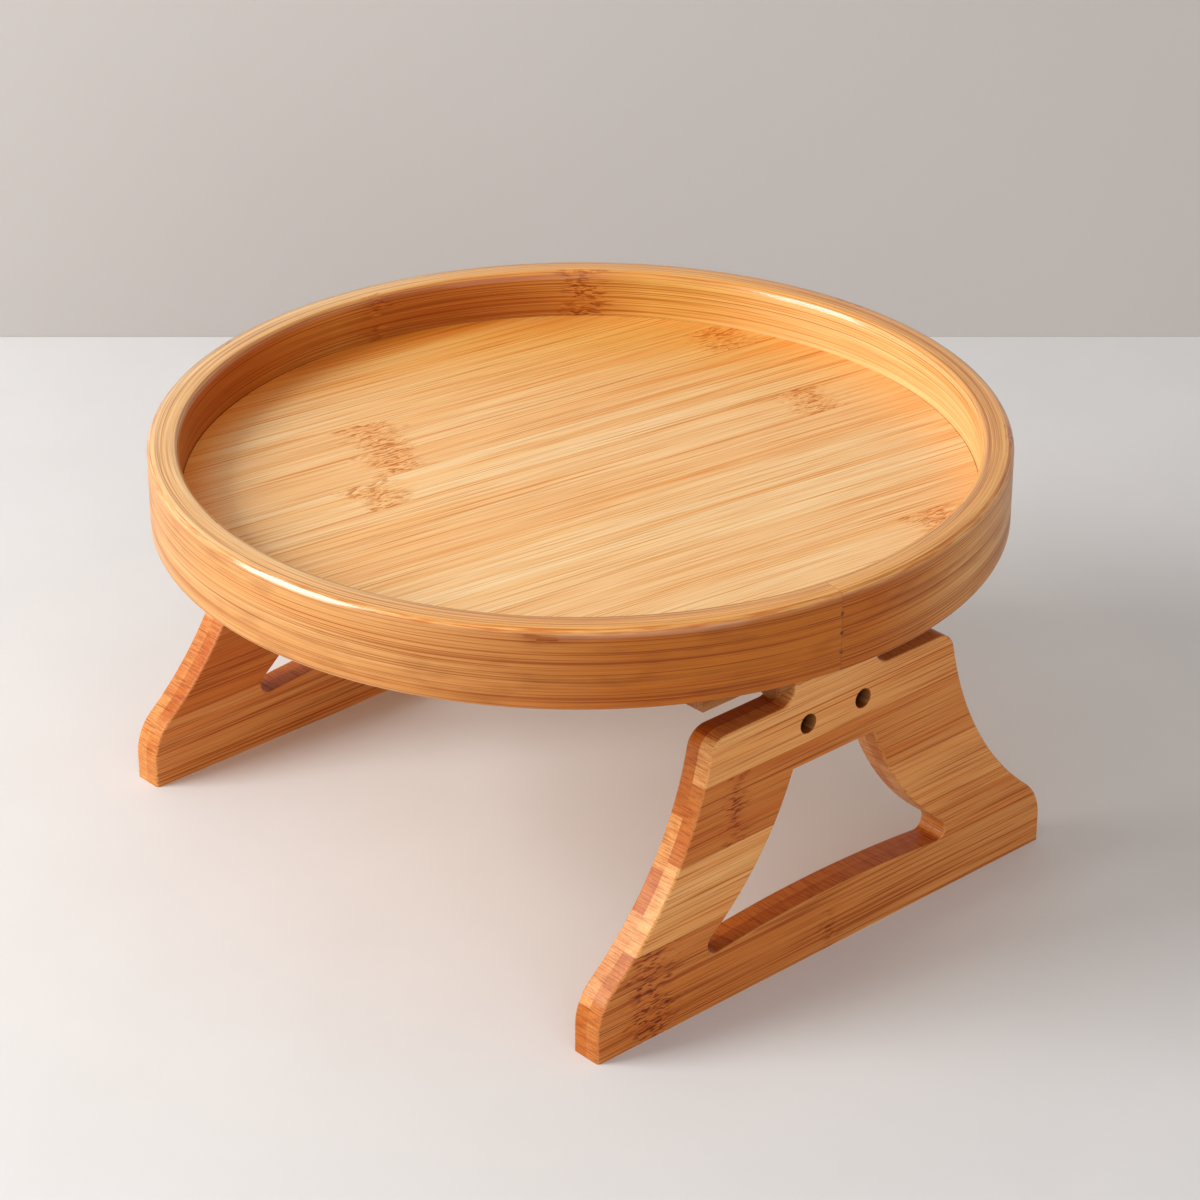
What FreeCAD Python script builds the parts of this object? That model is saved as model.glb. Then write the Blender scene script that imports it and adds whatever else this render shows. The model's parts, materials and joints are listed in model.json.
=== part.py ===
import FreeCAD, Part
import math
import os

from FreeCAD import Vector

# Round bamboo tray on two hinged leg-clamps that straddle the arm of a sofa.
# Millimetres, +Z up, floor at z = 0, tray axis on Z, hinge pins along Y.
# The right leg is at +X and the left leg is its mirror image.

# Tray rim: a bent hoop with a rebate under its inner edge for the floor panel
tray_diameter = 300.0
rim_wall = 11.0
rim_height = 29.0
rim_top_round = 2.2
rim_bottom_round = 1.8
ride_height = 124.0
rebate_depth = 4.4
rebate_height = 6.0

# Tray floor: a round panel, flush with the underside of the rim
floor_thickness = 11.0
floor_fit = 0.2

# Brads through the rim's seam, one above another on the outer wall
brad_count = 3
brad_shank_diameter = 1.0
brad_head_diameter = 1.4
brad_head_thickness = 0.6
brad_length = 8.0
brad_spacing = 7.0
brad_sink = 0.15
brad_fit = 0.02
seam_angle = -8.0

# Leg: one plate with a foot, waist, shoulders and a hinge tongue
leg_thickness = 12.0
leg_set_back = 23.0
foot_half_length = 106.7
heel_height = 19.8
heel_round = 20.0
leg_side_bow = 9.8
shoulder_half_width = 56.3
shoulder_drop = 21.0
shoulder_round = 8.0
notch_round = 6.3
tongue_half_width = 19.0
leg_edge_round = 1.0

# Window in the leg
window_top_half_width = 19.0
window_top_drop = 46.4
window_half_width = 57.0
window_bottom_height = 20.6
window_corner_round = 4.0
window_side_lean = 37.7
window_arch_lean = 6.0

# Spring anchor hole in the leg: a counterbore outside and a wire hole behind it
anchor_offset = 12.9
anchor_drop = 31.0
anchor_bore_diameter = 7.2
anchor_bore_depth = 5.2
anchor_wire_hole_diameter = 2.8

# Hinge board under each side of the tray
board_thickness = 6.0
board_width = 30.0
board_half_length = 61.5
board_edge_round = 0.8
fold_clearance = 0.4

# Rails under the board's outer edge, in front of the hinge and behind it
rail_depth = 3.0
rail_hinge_gap = 2.0

# Screws that hold the hinge board
screw_shank_diameter = 3.5
screw_head_diameter = 7.0
screw_head_height = 2.6
screw_length = 14.0
screw_tip_length = 2.5
screw_slot_width = 1.0
screw_slot_length = 4.2
screw_slot_depth = 1.2
screw_inset_x = 7.0
screw_inset_y = 10.0
screw_fit = 0.02
screw_sink = 0.1

# Knuckles beside the tongue
knuckle_thickness = 7.0
knuckle_radius = 6.0
knuckle_inner_round = 3.0
knuckle_side_gap = 0.4
tenon_inset = 1.0
tenon_half_width = 4.0
tenon_fit = 0.1

# Hinge pin
pin_diameter = 4.0
pin_running_clearance = 0.05
pin_seat_clearance = 0.02
pin_end_recess = 0.5

# Torsion springs on the pin
wire_diameter = 1.2
coil_mean_radius = 3.1
coil_pitch = 1.8
coil_turns = 4
hook_round = 1.8
tail_round = 1.5
fixed_arm_seat = 4.0
fixed_arm_hole_clearance = 0.3
chamber_clearance = 0.5
chamber_end_clearance = 1.0
chamber_skin_rise = 2.0
arm_groove_width = 4.0
arm_groove_depth = 3.8

# Overrun of every cutting tool past the face that it cuts
overrun = 5.0

# Places worked out from the sizes above
tray_radius = tray_diameter / 2
rim_inner_radius = tray_radius - rim_wall
rebate_radius = rim_inner_radius + rebate_depth
leg_outer_x = tray_radius - leg_set_back
leg_inner_x = leg_outer_x - leg_thickness
pin_x = leg_inner_x + leg_thickness / 2
board_bottom = ride_height - board_thickness
pin_height = board_bottom - fold_clearance - leg_thickness / 2
shoulder_height = ride_height - shoulder_drop
anchor_height = ride_height - anchor_drop
window_top_height = ride_height - window_top_drop
board_outer_x = leg_outer_x
board_inner_x = board_outer_x - board_width
knuckle_start = tongue_half_width + knuckle_side_gap
knuckle_end = knuckle_start + knuckle_thickness
rail_bottom = board_bottom - rail_depth
rail_start = knuckle_end + rail_hinge_gap
pin_radius = pin_diameter / 2
wire_radius = wire_diameter / 2
moving_arm_y = anchor_offset
fixed_arm_y = moving_arm_y - coil_turns * coil_pitch
arm_x = pin_x - coil_mean_radius
chamber_radius = coil_mean_radius + wire_radius + chamber_clearance
chamber_start = fixed_arm_y - wire_radius - chamber_end_clearance
chamber_end = moving_arm_y + wire_radius + chamber_end_clearance

along_x = Vector(1, 0, 0)
along_y = Vector(0, 1, 0)
along_z = Vector(0, 0, 1)


def box(low, high):
    """A box between two opposite corners."""
    size = high - low
    return Part.makeBox(size.x, size.y, size.z, low)


def mirror_x(shape):
    """The same piece on the other side of the tray."""
    return shape.mirror(Vector(0, 0, 0), along_x)


def mirror_y(shape):
    """The same piece at the other end of the hinge pin."""
    return shape.mirror(Vector(0, 0, 0), along_y)


def save(name, shape):
    """Write one node and print its number of solids and volume."""
    shape.exportStep("parts/" + name + ".step")
    print(name, len(shape.Solids), shape.isValid(), round(shape.Volume, 1))


def bowed_arc(first, last, bow, inside):
    """An arc from first to last whose middle stands bow away from the chord, towards inside."""
    middle = (first + last) / 2
    chord = (last - first).normalize()
    across = chord.cross(along_x)
    if across.dot(inside - middle) < 0:
        across = -across
    return Part.Arc(first, middle + across * bow, last).toShape()


def at(s, t):
    """A point of the leg's outline on its inner face: s along the hinge, t above the floor."""
    return Vector(leg_inner_x, s, t)


def on_edge(edge, s, t):
    """True for an edge square to the plate that passes through the outline point s, t."""
    lined_up = abs(edge.tangentAt(edge.FirstParameter).dot(along_x)) > 1 - 1e-6
    return lined_up and (edge.CenterOfMass - at(s, t)).cross(along_x).Length < 1e-4


def leg_plate():
    """The leg's plate: outline with rounded corners, cut by the window."""
    heel = at(foot_half_length, heel_height)
    shoulder = at(shoulder_half_width, shoulder_height)
    floor_middle = at(0, 0)
    half = [
        at(tongue_half_width, pin_height),
        at(tongue_half_width, shoulder_height),
        shoulder,
    ]
    other = [Vector(point.x, -point.y, point.z) for point in half]
    heel_other = Vector(heel.x, -heel.y, heel.z)
    edges = [
        Part.makeLine(other[0], half[0]),
        Part.makeLine(half[0], half[1]),
        Part.makeLine(half[1], half[2]),
        bowed_arc(shoulder, heel, leg_side_bow, floor_middle),
        Part.makeLine(heel, at(foot_half_length, 0)),
        Part.makeLine(at(foot_half_length, 0), at(-foot_half_length, 0)),
        Part.makeLine(at(-foot_half_length, 0), heel_other),
        bowed_arc(heel_other, other[2], leg_side_bow, floor_middle),
        Part.makeLine(other[2], other[1]),
        Part.makeLine(other[1], other[0]),
    ]
    plate = Part.Face(Part.Wire(edges)).extrude(along_x * leg_thickness)
    rounds = [
        (foot_half_length, heel_height, heel_round),
        (shoulder_half_width, shoulder_height, shoulder_round),
        (tongue_half_width, shoulder_height, notch_round),
    ]
    for s, t, radius in rounds:
        corners = [edge for edge in plate.Edges if on_edge(edge, s, t) or on_edge(edge, -s, t)]
        plate = plate.makeFillet(radius, corners)
    return plate.cut(window_cutter())


def window_cutter():
    """The window's outline, run past both faces of the plate."""
    side_lean = math.radians(window_side_lean)
    arch_lean = math.radians(window_arch_lean)
    centre_s = window_half_width - window_corner_round
    centre_t = window_bottom_height + window_corner_round
    top = at(window_top_half_width, window_top_height)
    corner_start = at(
        centre_s + window_corner_round * math.sin(side_lean),
        centre_t + window_corner_round * math.cos(side_lean),
    )
    corner_far = at(centre_s + window_corner_round, centre_t)
    corner_end = at(
        centre_s - window_corner_round * math.sin(arch_lean),
        centre_t - window_corner_round * math.cos(arch_lean),
    )
    chord = corner_start - top
    half_turn = math.atan2(-chord.z, chord.y) - side_lean
    side_bow = chord.Length / 2 * math.tan(half_turn / 2)
    arch_rise = corner_end.y * math.tan(arch_lean / 2)
    floor_middle = at(0, 0)
    flip = FreeCAD.Matrix()
    flip.A22 = -1
    near = [
        bowed_arc(top, corner_start, side_bow, floor_middle),
        Part.Arc(corner_start, corner_far, corner_end).toShape(),
    ]
    far = [edge.transformGeometry(flip) for edge in near]
    corner_end_far = Vector(corner_end.x, -corner_end.y, corner_end.z)
    top_far = Vector(top.x, -top.y, top.z)
    arch_middle = at(0, corner_end.z + arch_rise)
    arch = Part.Arc(corner_end, arch_middle, corner_end_far).toShape()
    top_line = Part.makeLine(top_far, top)
    edges = Part.sortEdges(near + [arch] + far + [top_line])[0]
    face = Part.Face(Part.Wire(edges))
    face.translate(-along_x * overrun)
    return face.extrude(along_x * (leg_thickness + 2 * overrun))


def soften(plate):
    """Round the long edges of the plate's two broad faces, but not along the tongue's top or the foot."""
    edges = []
    for edge in plate.Edges:
        middle = edge.CenterOfMass
        flat = edge.BoundBox.XLength < leg_edge_round / 2
        if flat and pin_height - leg_edge_round > edge.BoundBox.ZMin and middle.z > leg_edge_round:
            if edge.BoundBox.ZMax < pin_height - leg_edge_round / 2:
                edges.append(edge)
    return plate.makeFillet(leg_edge_round, edges)


def leg():
    """The whole right leg, with the rounded tongue top, pin bore, spring chambers and anchor holes."""
    plate = soften(leg_plate())
    tongue_top = Part.makeCylinder(
        leg_thickness / 2,
        2 * tongue_half_width,
        Vector(pin_x, -tongue_half_width, pin_height),
        along_y,
    )
    body = plate.fuse(tongue_top).removeSplitter()
    bore = Part.makeCylinder(
        pin_radius + pin_running_clearance,
        2 * (tongue_half_width + overrun),
        Vector(pin_x, -tongue_half_width - overrun, pin_height),
        along_y,
    )
    cutters = [bore]
    for cutter in spring_room():
        cutters.append(cutter)
        cutters.append(mirror_y(cutter))
    return body.cut(cutters).removeSplitter()


def spring_room():
    """What is cut from the leg for the rear spring: its chamber, its arm's groove and its anchor hole."""
    length = chamber_end - chamber_start
    top = pin_height + leg_thickness / 2 + overrun
    inner = leg_inner_x - overrun
    groove_low = anchor_height - arm_groove_width / 2
    round_part = Part.makeCylinder(
        chamber_radius, length, Vector(pin_x, chamber_start, pin_height), along_y
    )
    open_part = box(
        Vector(inner, chamber_start, pin_height - chamber_radius),
        Vector(pin_x, chamber_end, top),
    )
    top_part = box(
        Vector(inner, chamber_start, pin_height + chamber_skin_rise),
        Vector(leg_outer_x + overrun, chamber_end, top),
    )
    groove = box(
        Vector(inner, moving_arm_y - arm_groove_width / 2, groove_low),
        Vector(leg_inner_x + arm_groove_depth, moving_arm_y + arm_groove_width / 2, pin_height),
    )
    counterbore = Part.makeCylinder(
        anchor_bore_diameter / 2,
        anchor_bore_depth + overrun,
        Vector(leg_outer_x + overrun, anchor_offset, anchor_height),
        -along_x,
    )
    wire_hole = Part.makeCylinder(
        anchor_wire_hole_diameter / 2,
        leg_thickness,
        Vector(leg_inner_x, anchor_offset, anchor_height),
        along_x,
    )
    return [round_part, open_part, top_part, groove, counterbore, wire_hole]


def rim():
    """The hoop, with its rebate, rounded edges and brad holes."""
    hoop = Part.makeCylinder(tray_radius, rim_height, Vector(0, 0, ride_height), along_z)
    opening = Part.makeCylinder(
        rim_inner_radius, rim_height + 2 * overrun, Vector(0, 0, ride_height - overrun), along_z
    )
    rebate = Part.makeCylinder(
        rebate_radius, rebate_height + overrun, Vector(0, 0, ride_height - overrun), along_z
    )
    hoop = hoop.cut(opening).cut(rebate)
    hoop = hoop.makeFillet(rim_top_round, circles_at(hoop, ride_height + rim_height))
    outer_edges = [
        edge for edge in circles_at(hoop, ride_height)
        if edge.Curve.Radius > rebate_radius + 1e-6
    ]
    hoop = hoop.makeFillet(rim_bottom_round, outer_edges)
    return hoop.cut(brads(brad_fit, overrun))


def circles_at(shape, height):
    """The circular edges of a shape that lie at a height."""
    found = []
    for edge in shape.Edges:
        if isinstance(edge.Curve, Part.Circle) and abs(edge.Curve.Center.z - height) < 1e-6:
            found.append(edge)
    return found


def brads(clearance, rise):
    """The brads in the seam, or with a rise past the wall the holes that take them."""
    solids = []
    first = ride_height + rim_height / 2 - brad_spacing * (brad_count - 1) / 2
    head_face = tray_radius - brad_sink
    for index in range(brad_count):
        height = first + brad_spacing * index
        head = Part.makeCylinder(
            brad_head_diameter / 2 + clearance,
            brad_head_thickness + clearance + rise,
            Vector(head_face + rise, 0, height),
            -along_x,
        )
        shank = Part.makeCylinder(
            brad_shank_diameter / 2 + clearance,
            brad_length + clearance,
            Vector(head_face, 0, height),
            -along_x,
        )
        solids.append(head.fuse(shank).removeSplitter())
    group = Part.makeCompound(solids)
    group.rotate(Vector(0, 0, 0), along_z, seam_angle)
    return group


def floor_panel():
    """The round floor panel with its stepped edge and pilot holes for the board screws."""
    lower = Part.makeCylinder(
        rebate_radius - floor_fit, rebate_height, Vector(0, 0, ride_height), along_z
    )
    upper = Part.makeCylinder(
        rim_inner_radius - floor_fit, floor_thickness, Vector(0, 0, ride_height), along_z
    )
    panel = lower.fuse(upper).removeSplitter()
    holes = board_screws(screw_fit, 0)
    return panel.cut([holes, mirror_x(holes)])


def screw_places():
    """Centres of the four screws of the right hinge board: two in its underside, two in its rails."""
    places = []
    inner = (board_inner_x + screw_inset_x, board_bottom)
    outer = (board_outer_x - screw_inset_x, rail_bottom)
    for x, z in (inner, outer):
        for y in (-board_half_length + screw_inset_y, board_half_length - screw_inset_y):
            places.append(Vector(x, y, z))
    return places


def board_screws(clearance, rise):
    """The right board's countersunk screws, or with a clearance the holes that take them."""
    solids = []
    head_radius = screw_head_diameter / 2 + clearance
    shank_radius = screw_shank_diameter / 2 + clearance
    for place in screw_places():
        face = place + along_z * screw_sink
        head = Part.makeCone(head_radius, shank_radius, screw_head_height, face, along_z)
        shank = Part.makeCylinder(shank_radius, screw_length - screw_tip_length, face, along_z)
        tip_base = face + along_z * (screw_length - screw_tip_length)
        tip = Part.makeCone(shank_radius, 0, screw_tip_length, tip_base, along_z)
        screw = head.fuse([shank, tip])
        if rise > 0:
            mouth = Part.makeCylinder(head_radius, rise, face, -along_z)
            screw = screw.fuse(mouth)
        if clearance == 0:
            screw = screw.cut(cross_recess(face))
        solids.append(screw.removeSplitter())
    return Part.makeCompound(solids)


def cross_recess(face):
    """The cross-shaped recess in a screw head that faces down."""
    half_length = screw_slot_length / 2
    half_width = screw_slot_width / 2
    slots = []
    for half_x, half_y in ((half_length, half_width), (half_width, half_length)):
        slots.append(box(
            face + Vector(-half_x, -half_y, -overrun),
            face + Vector(half_x, half_y, screw_slot_depth),
        ))
    return slots[0].fuse(slots[1])


def knuckle():
    """The right rear knuckle: a U-shaped tab round the pin with a tenon up through the board."""
    start = Vector(pin_x, knuckle_start, pin_height)
    tab = Part.makeCylinder(knuckle_radius, knuckle_thickness, start, along_y)
    upper = box(
        Vector(pin_x - knuckle_radius, knuckle_start, pin_height),
        Vector(pin_x + knuckle_radius, knuckle_end, board_bottom),
    )
    body = tab.fuse(upper).removeSplitter()
    inner_edges = []
    for edge in body.Edges:
        on_inner = abs(edge.BoundBox.YMax - knuckle_start) < 1e-6
        if on_inner and edge.CenterOfMass.z < board_bottom - 1e-6:
            inner_edges.append(edge)
    body = body.makeFillet(knuckle_inner_round, inner_edges)
    bore = Part.makeCylinder(
        pin_radius + pin_seat_clearance,
        knuckle_thickness + 2 * overrun,
        start - along_y * overrun,
        along_y,
    )
    return body.cut(bore).fuse(tenon(0)).removeSplitter()


def tenon(clearance):
    """The knuckle's tenon, or with a clearance the mortise in the board."""
    low_y = knuckle_start + knuckle_inner_round
    return box(
        Vector(pin_x - tenon_half_width - clearance, low_y - clearance, board_bottom),
        Vector(pin_x + tenon_half_width + clearance, knuckle_end - tenon_inset + clearance, ride_height),
    )


def hinge_board():
    """The right hinge board with its rails, mortises, spring holes and screw holes."""
    board = box(
        Vector(board_inner_x, -board_half_length, board_bottom),
        Vector(board_outer_x, board_half_length, ride_height),
    )
    inner_edges = []
    for edge in board.Edges:
        low = abs(edge.BoundBox.ZMax - board_bottom) < 1e-6
        if low and abs(edge.BoundBox.XMax - board_inner_x) < 1e-6:
            inner_edges.append(edge)
    board = board.makeFillet(board_edge_round, inner_edges)
    rail = box(
        Vector(leg_inner_x, rail_start, rail_bottom),
        Vector(board_outer_x, board_half_length, board_bottom),
    )
    low_edges = []
    for edge in rail.Edges:
        if abs(edge.BoundBox.ZMax - rail_bottom) < 1e-6:
            low_edges.append(edge)
    rail = rail.makeFillet(board_edge_round, low_edges)
    board = board.fuse([rail, mirror_y(rail)]).removeSplitter()
    mortise = tenon(tenon_fit)
    arm_hole = Part.makeCylinder(
        wire_radius + fixed_arm_hole_clearance,
        fixed_arm_seat + fixed_arm_hole_clearance + overrun,
        Vector(arm_x, fixed_arm_y, board_bottom - overrun),
        along_z,
    )
    cutters = [mortise, mirror_y(mortise), arm_hole, mirror_y(arm_hole)]
    return board.cut(cutters).cut(board_screws(screw_fit, overrun))


def hinge_pin():
    """The right hinge pin, held in the knuckles and running in the tongue."""
    half_length = knuckle_end - pin_end_recess
    start = Vector(pin_x, -half_length, pin_height)
    return Part.makeCylinder(pin_radius, 2 * half_length, start, along_y)


def arc_between(first, corner, last):
    """The arc from first to last that is tangent there to the lines to the corner."""
    middle = (first + last) / 2
    half_chord = (last - first).Length / 2
    rise = corner - middle
    half_turn = math.atan2(rise.Length, half_chord)
    bulge = middle + rise.normalize() * (half_chord * math.tan(half_turn / 2))
    return Part.Arc(first, bulge, last)


def biarc(first, first_way, last, last_way):
    """Two arcs that meet smoothly between two points with given directions."""
    span = last - first
    ways = first_way + last_way
    lead = span.dot(ways)
    sharpness = 2 * (1 - first_way.dot(last_way))
    reach = (math.sqrt(lead * lead + sharpness * span.dot(span)) - lead) / sharpness
    first_corner = first + first_way * reach
    last_corner = last - last_way * reach
    joint = (first_corner + last_corner) / 2
    return [arc_between(first, first_corner, joint), arc_between(joint, last_corner, last)]


def coil_point(turn):
    """A point of the coil's centre line, turn counted from its fixed arm."""
    angle = math.pi + 2 * math.pi * turn
    return Vector(
        pin_x + coil_mean_radius * math.cos(angle),
        fixed_arm_y + coil_pitch * turn,
        pin_height + coil_mean_radius * math.sin(angle),
    )


def coil_way(turn):
    """The coil's direction at a turn; both ends run straight down into the arms."""
    if turn in (0, coil_turns):
        return -along_z
    angle = math.pi + 2 * math.pi * turn
    around = 2 * math.pi * coil_mean_radius
    return Vector(-math.sin(angle) * around, coil_pitch, math.cos(angle) * around).normalize()


def spring():
    """The right rear torsion spring as one tube: board arm, coil, leg arm and hooked tail."""
    top = Vector(arm_x, fixed_arm_y, board_bottom + fixed_arm_seat)
    curves = [Part.LineSegment(top, coil_point(0))]
    quarters = 4 * coil_turns
    for index in range(quarters):
        turn = index / 4
        after = (index + 1) / 4
        curves += biarc(coil_point(turn), coil_way(turn), coil_point(after), coil_way(after))
    hook_start = Vector(arm_x, moving_arm_y, anchor_height + hook_round)
    hook_corner = Vector(arm_x, moving_arm_y, anchor_height)
    hook_end = Vector(arm_x + hook_round, moving_arm_y, anchor_height)
    bore_floor_x = leg_outer_x - anchor_bore_depth
    tail_x = bore_floor_x + wire_diameter
    tail_bend = Vector(tail_x - tail_round, moving_arm_y, anchor_height)
    tail_corner = Vector(tail_x, moving_arm_y, anchor_height)
    tail_start = Vector(tail_x, moving_arm_y, anchor_height - tail_round)
    tail_end = tail_start - along_z * wire_diameter
    curves.append(Part.LineSegment(coil_point(coil_turns), hook_start))
    curves.append(arc_between(hook_start, hook_corner, hook_end))
    curves.append(Part.LineSegment(hook_end, tail_bend))
    curves.append(arc_between(tail_bend, tail_corner, tail_start))
    curves.append(Part.LineSegment(tail_start, tail_end))
    path = Part.Wire([curve.toShape() for curve in curves])
    section = Part.Wire([Part.makeCircle(wire_radius, top, -along_z)])
    tube = path.makePipeShell([section], True, False)
    print("spring tube over section times length",
          round(tube.Volume / (math.pi * wire_radius ** 2 * path.Length), 4),
          "least gap to itself", round(least_gap(curves), 3))
    return tube


def least_gap(curves):
    """The least clear distance between parts of the wire more than half a turn apart along it."""
    points = []
    travelled = 0
    for curve in curves:
        length = curve.length()
        count = max(4, math.ceil(length / (wire_radius / 2)))
        first = curve.FirstParameter
        last = curve.LastParameter
        for step in range(count):
            share = step / count
            points.append((travelled + length * share, curve.value(first + (last - first) * share)))
        travelled += length
    half_turn = math.pi * coil_mean_radius
    least = travelled
    for index, (place, point) in enumerate(points):
        for other_place, other in points[index + 1:]:
            if other_place - place > half_turn:
                least = min(least, (point - other).Length)
    return least - wire_diameter


def main():
    """Build every node and write it."""
    os.makedirs("parts", exist_ok=True)
    save("tray_rim", rim())
    save("tray_floor", floor_panel())
    save("rim_brads", brads(0, 0))
    pieces = {
        "leg": leg(),
        "hinge_board": hinge_board(),
        "board_screws": board_screws(0, 0),
        "hinge_pin": hinge_pin(),
        "rear_knuckle": knuckle(),
        "rear_spring": spring(),
    }
    pieces["front_knuckle"] = mirror_y(pieces["rear_knuckle"])
    pieces["front_spring"] = mirror_y(pieces["rear_spring"])
    for name, shape in pieces.items():
        save("right_" + name, shape)
        save("left_" + name, mirror_x(shape))


main()
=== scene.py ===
# Sofa arm tray of lacquered bamboo: its finishes, bent hoop, wound springs, stage, light and camera.
import json
import math

import bpy
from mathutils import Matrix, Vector

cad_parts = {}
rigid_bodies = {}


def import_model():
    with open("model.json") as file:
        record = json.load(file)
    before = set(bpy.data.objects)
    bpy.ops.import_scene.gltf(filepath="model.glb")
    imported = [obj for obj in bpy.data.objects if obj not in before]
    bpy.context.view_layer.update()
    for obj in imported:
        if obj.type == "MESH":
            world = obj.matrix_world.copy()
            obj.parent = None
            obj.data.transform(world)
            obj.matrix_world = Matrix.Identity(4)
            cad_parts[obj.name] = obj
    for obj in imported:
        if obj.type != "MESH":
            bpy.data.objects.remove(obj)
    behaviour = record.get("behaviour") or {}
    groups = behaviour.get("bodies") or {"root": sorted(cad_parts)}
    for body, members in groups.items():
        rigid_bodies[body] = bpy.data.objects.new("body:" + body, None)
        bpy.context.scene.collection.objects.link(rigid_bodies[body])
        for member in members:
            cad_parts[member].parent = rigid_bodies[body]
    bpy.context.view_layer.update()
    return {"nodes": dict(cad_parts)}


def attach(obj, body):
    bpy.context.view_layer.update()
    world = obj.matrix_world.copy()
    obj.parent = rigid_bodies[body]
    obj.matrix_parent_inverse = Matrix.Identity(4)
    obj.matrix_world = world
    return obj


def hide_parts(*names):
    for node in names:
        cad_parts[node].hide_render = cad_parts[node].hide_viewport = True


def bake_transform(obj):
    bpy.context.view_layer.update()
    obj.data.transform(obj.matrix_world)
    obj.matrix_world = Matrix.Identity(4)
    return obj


bpy.ops.object.select_all(action="SELECT")
bpy.ops.object.delete()

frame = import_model()

mm = 0.001
per_metre = 1000.0

# Points of a mesh that are nearer than this, in millimetres, are the same point.
touch = 0.01

# Sizes of the tray in millimetres, as its solids have them. Angles are in degrees.
tray_radius = 150.0
hoop_wall = 11.0
hoop_bore = tray_radius - hoop_wall
hoop_mean_radius = tray_radius - hoop_wall / 2
hoop_base = 124.0
hoop_top = 153.0
hoop_top_round = 2.2
hoop_base_round = 1.8
rebate_radius = 143.4
rebate_top = 130.0
seam_angle = -8.0
brad_heights = (131.5, 138.5, 145.5)
brad_hole_radius = 0.72
brad_hole_depth = 0.77
floor_middle = 129.5

# Sizes of the legs and springs in millimetres, as their solids have them.
leg_middle = 121.0
leg_height = 112.0
anchor_offset = 12.9
anchor_radius = 3.6
hinge_height = 111.6
wire_radius = 0.6
coil_radius = 3.1
coil_pitch = 1.8
coil_turns = 4
fixed_arm_y = 5.7
moving_arm_y = 12.9
fixed_arm_top = 122.0
hook_height = 93.0
hook_round = 1.8
tail_x = 123.0
tail_round = 1.5
tail_end = 90.3

# Sizes of the bamboo's strips, fibres and knuckles in millimetres.
fibre_jump = 700.0
out_of_reach = 500.0
tuft_length = 14.0
tuft_width = 5.0
tuft_reach = 12.0
knuckle_core = 2.0
knuckle_edge = 14.0
swirls_per_mm = 0.18
hair_length = 36.0
hair_width = 0.42
band_length = 240.0
band_width = 5.0
dash_length = 5.0
dash_width = 0.9
pore_depth = 0.08
glue_line = 0.3
hoop_glue_line = 0.22
seam_line = 0.25
board_glue_line = 0.25

# Sockets of the Mix node: its share, then the pair and the result for numbers, directions and colours.
mix_share = 0
number_first = 2
number_second = 3
way_first = 4
way_second = 5
way_result = 1
mix_first = 6
mix_second = 7
mix_result = 2


def linear(hex_colour):
    """An sRGB hex value as the linear colour that a shader reads."""
    channels = []
    for start in (1, 3, 5):
        value = int(hex_colour[start:start + 2], 16) / 255
        if value <= 0.04045:
            channels.append(value / 12.92)
        else:
            channels.append(((value + 0.055) / 1.055) ** 2.4)
    return (*channels, 1.0)


def put(tree, kind, inputs=None, output=0, stops=None, **settings):
    """Adds a node with its settings, fills or links its inputs, and gives back one output."""
    node = tree.nodes.new(kind)
    for setting, value in settings.items():
        setattr(node, setting, value)
    for socket, value in (inputs or {}).items():
        if isinstance(value, bpy.types.NodeSocket):
            tree.links.new(value, node.inputs[socket])
        else:
            node.inputs[socket].default_value = value
    for number, (place, grey) in enumerate(stops or ()):
        elements = node.color_ramp.elements
        element = elements[number] if number < len(elements) else elements.new(place)
        element.position = place
        element.color = (grey, grey, grey, 1.0)
    return node.outputs[output]


def new_material(name):
    """A material with its node tree and its shader."""
    material = bpy.data.materials.new(name)
    material.use_nodes = True
    tree = material.node_tree
    return material, tree, tree.nodes["Principled BSDF"]


def object_place(tree, turn=0.0):
    """Object coordinates in millimetres, turned about Z, as three separate sockets."""
    place = put(tree, "ShaderNodeTexCoord", output="Object")
    scaled = put(tree, "ShaderNodeMapping", {
        "Vector": place,
        "Rotation": (0.0, 0.0, math.radians(turn)),
        "Scale": (per_metre, per_metre, per_metre),
    })
    return put(tree, "ShaderNodeSeparateXYZ", {0: scaled}).node.outputs


def stretched_noise(tree, grain, length, width, detail=2.0, roughness=0.5):
    """Noise drawn out along the grain: length and width are its feature sizes in millimetres."""
    scaled = put(tree, "ShaderNodeMapping", {
        "Vector": grain,
        "Scale": (1.0 / length, 1.0 / width, 1.0 / width),
    })
    return put(tree, "ShaderNodeTexNoise", {
        "Vector": scaled, "Scale": 1.0, "Detail": detail, "Roughness": roughness,
    })


def nearest_knuckle(tree, along, knuckles):
    """Distance along the grain to the nearest knuckle of this strip; a faint one seems further off."""
    nearest = None
    for knuckle_along, inside, faintness in knuckles:
        gap = put(tree, "ShaderNodeMath", {0: along, 1: knuckle_along}, operation="SUBTRACT")
        gap = put(tree, "ShaderNodeMath", {0: gap}, operation="ABSOLUTE")
        outside = put(tree, "ShaderNodeMapRange", {
            "Value": inside, "To Min": out_of_reach, "To Max": faintness,
        })
        gap = put(tree, "ShaderNodeMath", {0: gap, 1: outside}, operation="ADD")
        if nearest is None:
            nearest = gap
        else:
            nearest = put(tree, "ShaderNodeMath", {0: nearest, 1: gap}, operation="MINIMUM")
    return nearest


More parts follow.
